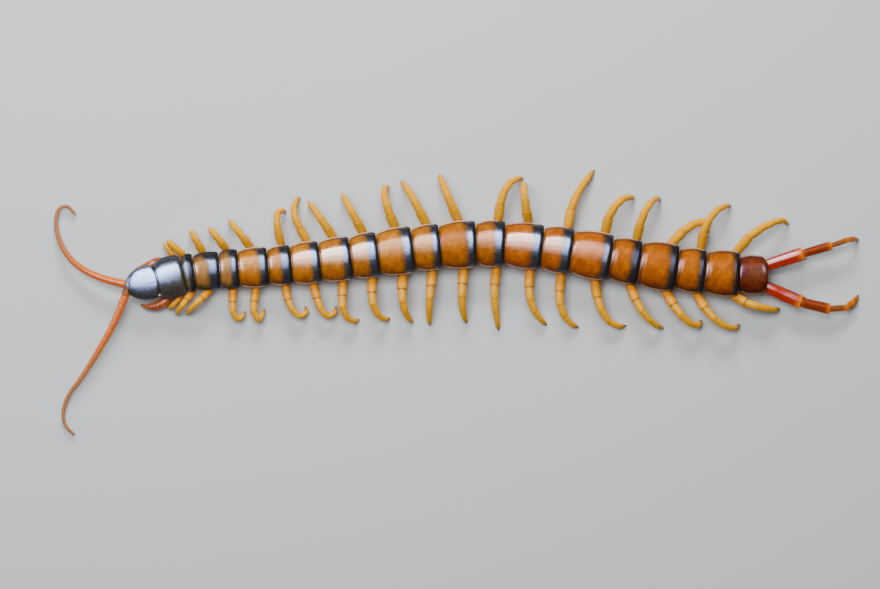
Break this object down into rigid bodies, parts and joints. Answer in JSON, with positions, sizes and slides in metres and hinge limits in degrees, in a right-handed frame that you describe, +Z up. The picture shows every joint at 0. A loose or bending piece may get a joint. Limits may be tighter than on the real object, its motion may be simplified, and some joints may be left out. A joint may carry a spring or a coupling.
{
  "type": "giant centipede",
  "caption": "Giant centipede standing still: flat banded trunk, spread yellow legs, two long feelers, poison claws under the head and stout red trailing legs.",
  "frame": {"origin": "on the floor, under the middle of the animal's outline seen from above", "axes": "+X from head to tail, +Y to the animal's right side, +Z up from the floor it stands on"},
  "size_m": [0.2022, 0.067, 0.0077],
  "materials": {
    "head_shell": "glossy blue-black shell of the head and first back plate",
    "back_shell": "glossy amber back plates with a blue-black band at each rear edge",
    "tail_shell": "glossy red-brown last back plate",
    "leg_shell": "satin yellow leg shell, orange at the root and brown at the tip",
    "terminal_leg_shell": "glossy cherry-red shell, orange at the joints",
    "antenna_shell": "satin orange-brown, paler and duller towards the tip",
    "jaw_shell": "glossy orange-brown shell with black tips",
    "belly_shell": "satin olive-amber belly plates",
    "soft_skin": "dark olive soft skin of the sides, dull",
    "plate_rim": "pale orange raised rim of the back plates",
    "eye": "glossy black simple eyes",
    "claw_tip": "dark brown hard claws and fang tips"
  },
  "bodies": {
    "root": {"head": "head_shell", "antenna_right": "antenna_shell", "antenna_left": "antenna_shell", "poison_claw_plate": "jaw_shell", "poison_claw_right": "jaw_shell", "poison_claw_left": "jaw_shell", "trunk_01": "head_shell", "trunk_02_03": "back_shell", "trunk_04_05": "back_shell", "trunk_06_07": "back_shell", "trunk_08_09": "back_shell", "trunk_10_11": "back_shell", "trunk_12_13": "back_shell", "trunk_14_15": "back_shell", "trunk_16_17": "back_shell", "trunk_18_19": "back_shell", "trunk_20": "back_shell", "trunk_21": "tail_shell", "leg_01_right": "leg_shell", "leg_01_left": "leg_shell", "leg_02_right": "leg_shell", "leg_02_left": "leg_shell", "leg_03_right": "leg_shell", "leg_03_left": "leg_shell", "leg_04_right": "leg_shell", "leg_04_left": "leg_shell", "leg_05_right": "leg_shell", "leg_05_left": "leg_shell", "leg_06_right": "leg_shell", "leg_06_left": "leg_shell", "leg_07_right": "leg_shell", "leg_07_left": "leg_shell", "leg_08_right": "leg_shell", "leg_08_left": "leg_shell", "leg_09_right": "leg_shell", "leg_09_left": "leg_shell", "leg_10_right": "leg_shell", "leg_10_left": "leg_shell", "leg_11_right": "leg_shell", "leg_11_left": "leg_shell", "leg_12_right": "leg_shell", "leg_12_left": "leg_shell", "leg_13_right": "leg_shell", "leg_13_left": "leg_shell", "leg_14_right": "leg_shell", "leg_14_left": "leg_shell", "leg_15_right": "leg_shell", "leg_15_left": "leg_shell", "leg_16_right": "leg_shell", "leg_16_left": "leg_shell", "leg_17_right": "leg_shell", "leg_17_left": "leg_shell", "leg_18_right": "leg_shell", "leg_18_left": "leg_shell", "leg_19_right": "leg_shell", "leg_19_left": "leg_shell", "leg_20_right": "leg_shell", "leg_20_left": "leg_shell", "terminal_leg_right": "terminal_leg_shell", "terminal_leg_left": "terminal_leg_shell"}
  },
  "joints": []
}
